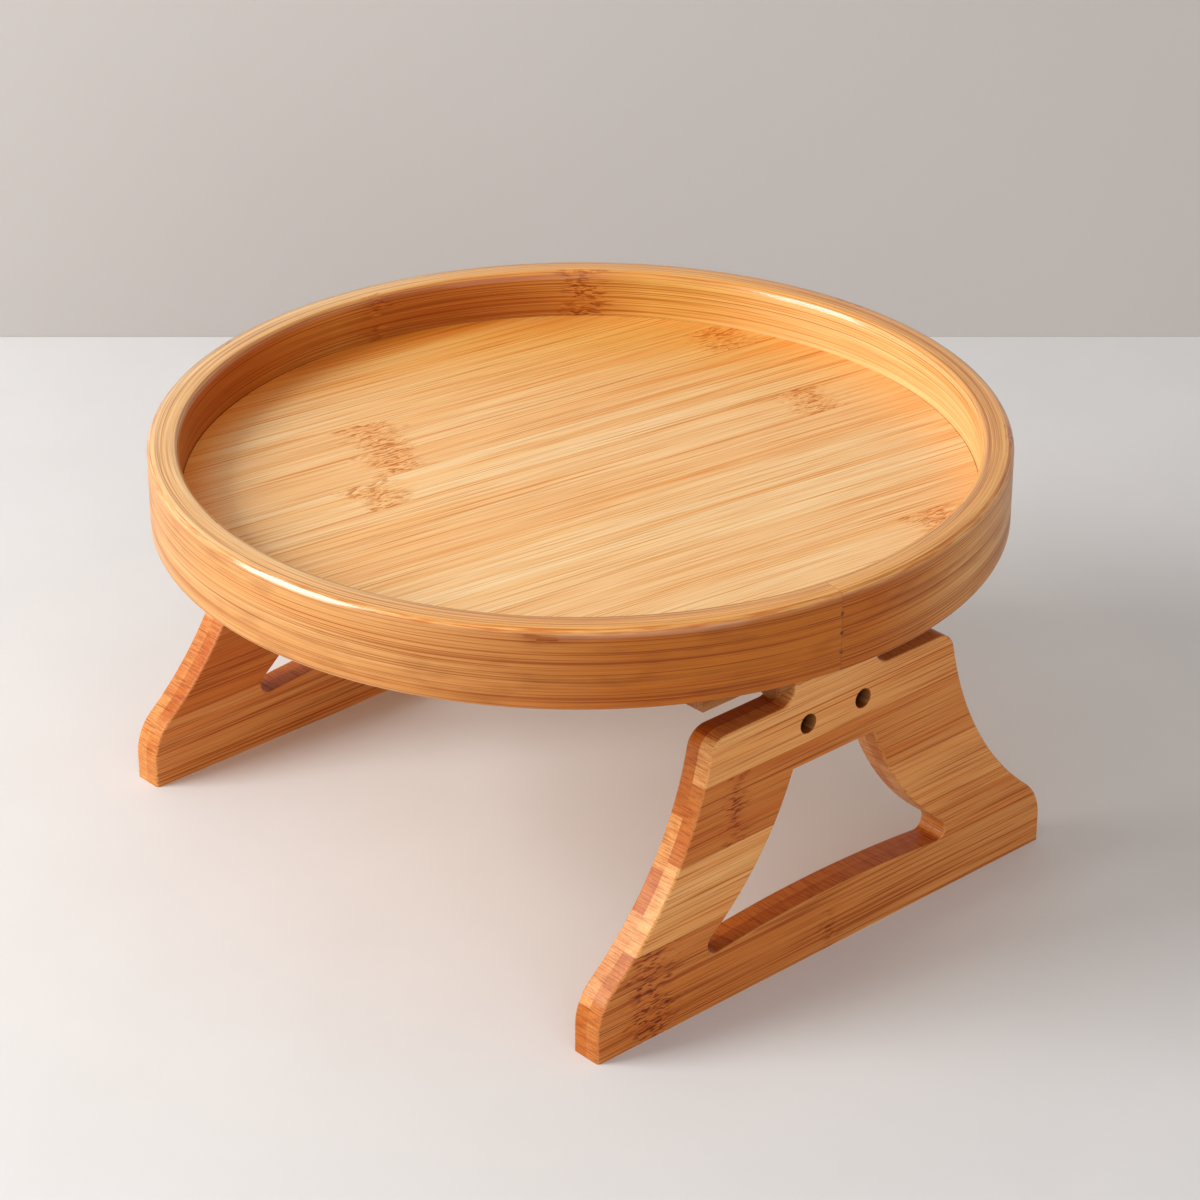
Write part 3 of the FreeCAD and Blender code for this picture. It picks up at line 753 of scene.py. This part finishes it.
def stage_paint(name, pale, deep, patch_size):
    """A plain matt surface that only shows its front, so that views from behind are open."""
    sole_gap = 1.0

    material, tree, shader = new_material(name)
    place = put(tree, "ShaderNodeTexCoord", output="Object")
    patches = put(tree, "ShaderNodeTexNoise", {
        "Vector": place, "Scale": per_metre / patch_size, "Detail": 4.0,
    })
    colour = put(tree, "ShaderNodeMix", {
        mix_share: patches, mix_first: linear(pale), mix_second: linear(deep),
    }, mix_result, data_type="RGBA")
    tree.links.new(colour, shader.inputs["Base Color"])
    shader.inputs["Roughness"].default_value = 0.8
    shader.inputs["Specular IOR Level"].default_value = 0.2
    behind = put(tree, "ShaderNodeNewGeometry", output="Backfacing")
    # Light also reaches the soles that stand on it, so that they aren't black from below.
    run = put(tree, "ShaderNodeLightPath", output="Ray Length")
    touching = put(tree, "ShaderNodeMath", {0: run, 1: sole_gap * mm}, operation="LESS_THAN")
    open_share = put(tree, "ShaderNodeMath", {0: behind, 1: touching}, operation="MAXIMUM")
    clear = put(tree, "ShaderNodeBsdfTransparent")
    one_sided = put(tree, "ShaderNodeMixShader", {0: open_share, 1: shader.outputs[0], 2: clear})
    tree.links.new(one_sided, tree.nodes["Material Output"].inputs["Surface"])
    return material


# Finishes on the solids.
leg_right = leg_bamboo(
    "right",
    outer_strips=((0.0, 0.8), (34.0, 0.2), (60.0, 0.9), (86.0, 0.25)),
    inner_strips=((0.0, 0.95), (18.0, 0.4), (44.0, 0.95), (57.0, 0.35), (74.0, 0.95)),
    marks=((-83.0, 0.0, 34.0, 0.0), (-46.0, 60.0, 86.0, 5.0), (0.0, 0.0, 16.0, 6.0)),
)
leg_left = leg_bamboo(
    "left",
    outer_strips=((0.0, 0.45), (30.0, 0.7), (56.0, 0.3), (82.0, 0.55)),
    inner_strips=((0.0, 0.7), (26.0, 0.95), (52.0, 0.8), (78.0, 0.9)),
    marks=((60.0, 30.0, 56.0, 2.0), (-70.0, 0.0, 30.0, 2.0)),
)
hinge_wood = hinge_bamboo()
hoop_wood = hoop_bamboo()
zinc_steel = steel("zinc_plated_steel", "#c9ccd0", "#9a9ca0", 0.3)
dark_steel = steel("bronzed_steel", "#9a6c46", "#6a4628", 0.5)
spring_wire = steel("bright_drawn_spring_wire", "#d3d5d8", "#a9acb0", 0.22)
finish_of = {
    "tray_floor": floor_bamboo(),
    "rim_brads": dark_steel,
    "right_leg": leg_right,
    "left_leg": leg_left,
}
for node_side in ("right", "left"):
    finish_of[node_side + "_hinge_board"] = hinge_wood
    finish_of[node_side + "_rear_knuckle"] = hinge_wood
    finish_of[node_side + "_front_knuckle"] = hinge_wood
    finish_of[node_side + "_board_screws"] = zinc_steel
    finish_of[node_side + "_hinge_pin"] = zinc_steel
for node_name, finish in finish_of.items():
    frame["nodes"][node_name].material_slots[0].material = finish


def select_points(piece, chosen):
    """Goes into edit mode with the points selected that the test chooses by their place in millimetres."""
    bpy.ops.object.mode_set(mode="EDIT")
    bpy.ops.mesh.select_mode(type="VERT")
    bpy.ops.mesh.select_all(action="DESELECT")
    bpy.ops.object.mode_set(mode="OBJECT")
    for vertex in piece.data.vertices:
        vertex.select = chosen(vertex.co * per_metre)
    bpy.ops.object.mode_set(mode="EDIT")


def pull(way):
    """Draws on what is selected, straight: an edge of a profile or the end of a wire."""
    bpy.ops.mesh.extrude_region_move(TRANSFORM_OT_translate={"value": way})


def face_outwards():
    """Selects the whole mesh in edit mode, turns its faces outwards and goes back to object mode."""
    bpy.ops.mesh.select_all(action="SELECT")
    bpy.ops.mesh.normals_make_consistent(inside=False)
    bpy.ops.object.mode_set(mode="OBJECT")


def bend_hoop():
    """The rim: its cross-section, with the rebate for the floor panel, spun round the tray's middle."""
    bpy.ops.object.select_all(action="DESELECT")
    bpy.ops.mesh.primitive_plane_add(
        size=mm, rotation=(math.pi / 2, 0.0, 0.0),
        location=((rebate_radius + tray_radius) / 2 * mm, 0.0, (hoop_base + rebate_top) / 2 * mm),
    )
    hoop = bpy.context.active_object
    hoop.scale = (tray_radius - rebate_radius, rebate_top - hoop_base, 1.0)
    bpy.ops.object.transform_apply(location=True, rotation=True, scale=True)
    select_points(hoop, lambda point: point.z > rebate_top - touch)
    pull((0.0, 0.0, (hoop_top - rebate_top) * mm))
    bpy.ops.object.mode_set(mode="OBJECT")
    select_points(hoop, lambda point: point.z > rebate_top - touch and point.x < rebate_radius + touch)
    pull(((hoop_bore - rebate_radius) * mm, 0.0, 0.0))
    bpy.ops.mesh.select_all(action="SELECT")
    bpy.ops.mesh.dissolve_faces()
    bpy.ops.object.mode_set(mode="OBJECT")
    for corner_radii, corner_height, corner_round in (
        ((tray_radius, hoop_bore), hoop_top, hoop_top_round),
        ((tray_radius,), hoop_base, hoop_base_round),
    ):
        corners = [Vector((corner_radius, 0.0, corner_height)) for corner_radius in corner_radii]
        select_points(hoop, lambda point: min((point - corner).length for corner in corners) < touch)
        bpy.ops.mesh.bevel(offset=corner_round * mm, segments=10, profile=0.5, affect="VERTICES")
        bpy.ops.object.mode_set(mode="OBJECT")
    bpy.ops.object.mode_set(mode="EDIT")
    bpy.ops.mesh.select_all(action="SELECT")
    bpy.ops.mesh.delete(type="ONLY_FACE")
    bpy.ops.mesh.select_all(action="SELECT")
    bpy.ops.mesh.spin(steps=384, angle=2 * math.pi, axis=(0.0, 0.0, 1.0), center=(0.0, 0.0, 0.0))
    bpy.ops.mesh.select_all(action="SELECT")
    bpy.ops.mesh.remove_doubles(threshold=touch * mm)
    face_outwards()

    # Each brad's head sits in a small hole in the seam.
    seam = math.radians(seam_angle)
    drill_length = 2 * brad_hole_depth
    drill_x = tray_radius * math.cos(seam)
    drill_y = tray_radius * math.sin(seam)
    for brad_height in brad_heights:
        bpy.ops.object.select_all(action="DESELECT")
        bpy.ops.mesh.primitive_cylinder_add(
            vertices=24, radius=brad_hole_radius * mm, depth=drill_length * mm,
            location=(drill_x * mm, drill_y * mm, brad_height * mm),
            rotation=(0.0, math.pi / 2, seam),
        )
        drill = bpy.context.active_object
        hole = hoop.modifiers.new("brad_hole", "BOOLEAN")
        hole.operation = "DIFFERENCE"
        hole.object = drill
        bpy.context.view_layer.objects.active = hoop
        bpy.ops.object.modifier_apply(modifier=hole.name)
        bpy.data.objects.remove(drill)
    bpy.ops.object.select_all(action="DESELECT")
    hoop.select_set(True)
    bpy.ops.object.shade_smooth_by_angle(angle=math.radians(30.0))
    hoop.data.materials.append(hoop_wood)
    return hoop


def wind_spring():
    """The right rear torsion spring: a coil on the pin, an arm into the board, a hook into the leg."""
    bpy.ops.object.select_all(action="DESELECT")
    bpy.ops.mesh.primitive_circle_add(
        vertices=16, radius=wire_radius * mm,
        location=(leg_middle * mm, fixed_arm_y * mm, hinge_height * mm),
    )
    spring = bpy.context.active_object
    bpy.ops.object.mode_set(mode="EDIT")
    bpy.ops.mesh.select_all(action="SELECT")
    bpy.ops.transform.translate(value=(-coil_radius * mm, 0.0, 0.0))
    bpy.ops.object.mode_set(mode="OBJECT")
    coil = spring.modifiers.new("coil", "SCREW")
    coil.axis = "Y"
    coil.angle = -2 * math.pi
    coil.screw_offset = coil_pitch * mm
    coil.iterations = coil_turns
    coil.steps = 36
    coil.render_steps = 36
    bpy.ops.object.modifier_apply(modifier=coil.name)
    bpy.ops.object.transform_apply(location=True, rotation=True, scale=True)

    # Both ends of the coil are open rings that lie level at the pin's height.
    arm_x = leg_middle - coil_radius
    ring_slack_share = 0.01
    ring_reach = wire_radius * (1 + ring_slack_share)
    for arm_y in (fixed_arm_y, moving_arm_y):
        arm_start = Vector((arm_x, arm_y, hinge_height))
        select_points(spring, lambda point: (point - arm_start).length < ring_reach)
        if arm_y == fixed_arm_y:
            pull((0.0, 0.0, (fixed_arm_top - hinge_height) * mm))
        else:
            hook_start = hook_height + hook_round
            pull((0.0, 0.0, (hook_start - hinge_height) * mm))
            bpy.ops.mesh.spin(
                steps=8, angle=math.pi / 2, axis=(0.0, 1.0, 0.0),
                center=((arm_x + hook_round) * mm, arm_y * mm, hook_start * mm),
            )
            tail_start = tail_x - tail_round
            pull(((tail_start - arm_x - hook_round) * mm, 0.0, 0.0))
            bpy.ops.mesh.spin(
                steps=8, angle=-math.pi / 2, axis=(0.0, 1.0, 0.0),
                center=(tail_start * mm, arm_y * mm, (hook_height - tail_round) * mm),
            )
            pull((0.0, 0.0, (tail_end - hook_height + tail_round) * mm))
        bpy.ops.mesh.edge_face_add()
        bpy.ops.object.mode_set(mode="OBJECT")
    bpy.ops.object.mode_set(mode="EDIT")
    bpy.ops.mesh.select_all(action="SELECT")
    bpy.ops.mesh.remove_doubles(threshold=touch * mm)
    face_outwards()
    bpy.ops.object.shade_smooth_by_angle(angle=math.radians(50.0))
    spring.data.materials.append(spring_wire)
    return spring


def mirrored(spring, side_sign, end_sign):
    """A copy of the spring for another hinge end, turned the other way where that end is a mirror."""
    bpy.ops.object.select_all(action="DESELECT")
    spring.select_set(True)
    bpy.context.view_layer.objects.active = spring
    bpy.ops.object.duplicate()
    copy = bpy.context.active_object
    copy.scale = (side_sign, end_sign, 1.0)
    bpy.ops.object.transform_apply(location=True, rotation=True, scale=True)
    bpy.ops.object.mode_set(mode="EDIT")
    face_outwards()
    return copy


bent_hoop = bend_hoop()
bent_hoop.name = "bent_hoop"
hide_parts("tray_rim")
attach(bent_hoop, "tray")

wound_spring = wind_spring()
for side, side_sign in (("right", 1), ("left", -1)):
    for end, end_sign in (("rear", 1), ("front", -1)):
        piece = mirrored(wound_spring, side_sign, end_sign)
        piece.name = side + "_" + end + "_wound_spring"
        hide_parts(side + "_" + end + "_spring")
        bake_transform(piece)
bpy.data.objects.remove(wound_spring)


# The camera's place and direction, and from them the ways ahead and to the left on the floor.
camera_place = (0.90885, -0.81389, 0.7247)
camera_way = Vector((-0.65657, 0.59453, -0.46420))
ahead = Vector((-0.7413, 0.6712, 0.0))
to_the_left = Vector((-ahead.y, ahead.x, 0.0))

# Stage: a pale table top and a grey wall behind it, in metres, with patches in millimetres.
stage_width = 8.0
wall_distance = 0.4249
wall_turn = math.atan2(-ahead.x, ahead.y)
stone_patch = 60.0
plaster_patch = 400.0
bpy.ops.object.select_all(action="DESELECT")
bpy.ops.mesh.primitive_plane_add(size=stage_width)
table_top = bpy.context.active_object
table_top.name = "table_top"
table_top.data.materials.append(stage_paint("pale_stone", "#e3e2e1", "#dddbd9", stone_patch))
bpy.ops.object.select_all(action="DESELECT")
bpy.ops.mesh.primitive_plane_add(
    size=stage_width, location=ahead * wall_distance, rotation=(math.pi / 2, 0.0, wall_turn),
)
wall = bpy.context.active_object
wall.name = "backdrop"
wall.data.materials.append(stage_paint("grey_plaster", "#c6c0bc", "#bfb9b5", plaster_patch))

# Light: a large soft lamp from the left and a weak one from the front, over an even pale surround.
# A lamp has its width, its power, and its place to the left of the tray, ahead of it and above the floor.
lamps = {
    "left_softbox": (0.85, 24.5, (1.35, -0.3, 0.86)),
    "front_fill": (1.4, 7.5, (-0.5, -1.6, 0.6)),
}
lit_middle = Vector((0.0, 0.0, 0.1))
for lamp_name, (lamp_width, lamp_power, (lamp_left, lamp_ahead, lamp_height)) in lamps.items():
    lamp_data = bpy.data.lights.new(lamp_name, "AREA")
    lamp_data.shape = "SQUARE"
    lamp_data.size = lamp_width
    lamp_data.energy = lamp_power
    lamp = bpy.data.objects.new(lamp_name, lamp_data)
    lamp.location = to_the_left * lamp_left + ahead * lamp_ahead + Vector((0.0, 0.0, lamp_height))
    lamp.rotation_euler = (lit_middle - lamp.location).to_track_quat("-Z", "Y").to_euler()
    bpy.context.scene.collection.objects.link(lamp)

surround = bpy.data.worlds.new("pale_studio")
surround.use_nodes = True
surround.node_tree.nodes["Background"].inputs["Color"].default_value = linear("#ffffff")
surround.node_tree.nodes["Background"].inputs["Strength"].default_value = 0.48
bpy.context.scene.world = surround

# Camera at the photograph's viewing angle.
camera_data = bpy.data.cameras.new("camera")
camera_data.lens = 116.3
camera_data.sensor_width = 36.0
camera = bpy.data.objects.new("camera", camera_data)
camera.location = camera_place
camera.rotation_euler = camera_way.to_track_quat("-Z", "Y").to_euler()
bpy.context.scene.collection.objects.link(camera)
bpy.context.scene.camera = camera
bpy.context.scene.view_settings.view_transform = "Standard"
